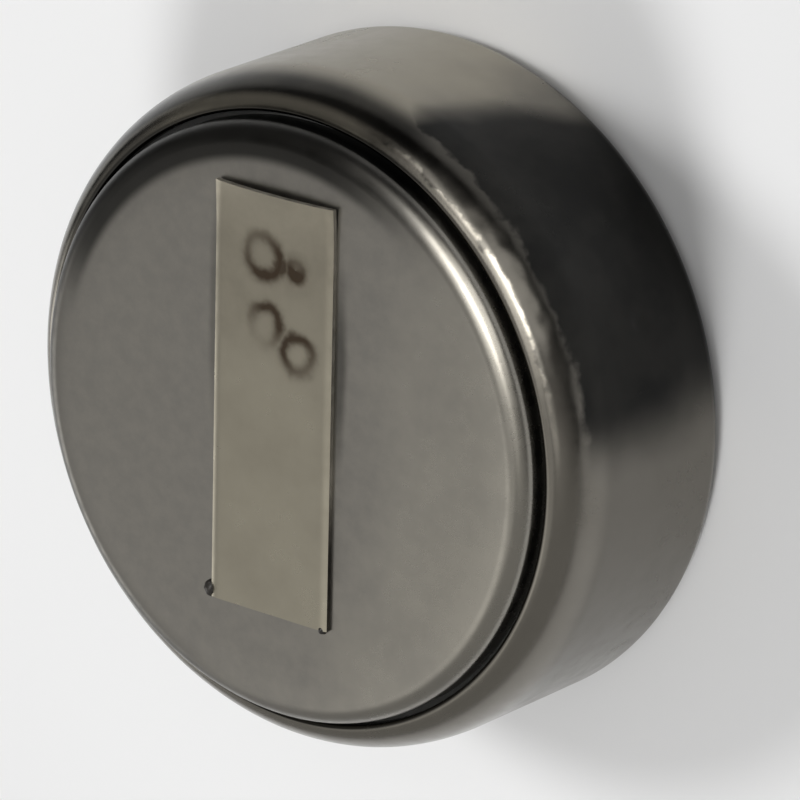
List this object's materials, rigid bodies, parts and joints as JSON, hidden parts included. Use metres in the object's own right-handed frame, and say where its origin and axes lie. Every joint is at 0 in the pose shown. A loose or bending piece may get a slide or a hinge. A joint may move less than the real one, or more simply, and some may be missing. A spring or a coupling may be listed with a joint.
{
  "type": "lithium coin cell with welded tab",
  "caption": "Round sealed lithium coin cell: a crimped steel can around a smaller raised cap, with a nickel tab spot-welded across the cap.",
  "frame": {"origin": "centre of the can's flat base", "axes": "+Z along the cell's axis, out of the negative cap; +Y along the tab, towards its lifted end"},
  "size_m": [0.0142, 0.0142, 0.0057],
  "materials": {
    "can_steel": "satin nickel plate with small dents and smears",
    "cap_steel": "satin nickel plate, faintly blotched",
    "gasket_plastic": "matte black",
    "tab_nickel": "rolled nickel with brown heat marks at the spot welds",
    "cathode_coating": "matte black coating on foil",
    "anode_coating": "matte graphite coating on copper foil",
    "separator_film": "matte white film",
    "amber_film": "smooth amber film",
    "lead_aluminium": "rolled",
    "lead_nickel": "rolled"
  },
  "bodies": {
    "root": {"positive_can": "can_steel", "negative_cap": "cap_steel", "gasket": "gasket_plastic", "welded_tab": "tab_nickel", "cathode_strip": "cathode_coating", "anode_strip": "anode_coating", "inner_separator": "separator_film", "outer_separator": "separator_film", "roll_tape": "amber_film", "positive_lead": "lead_aluminium", "negative_lead": "lead_nickel", "base_insulator": "amber_film", "cap_insulator": "amber_film"}
  },
  "joints": []
}
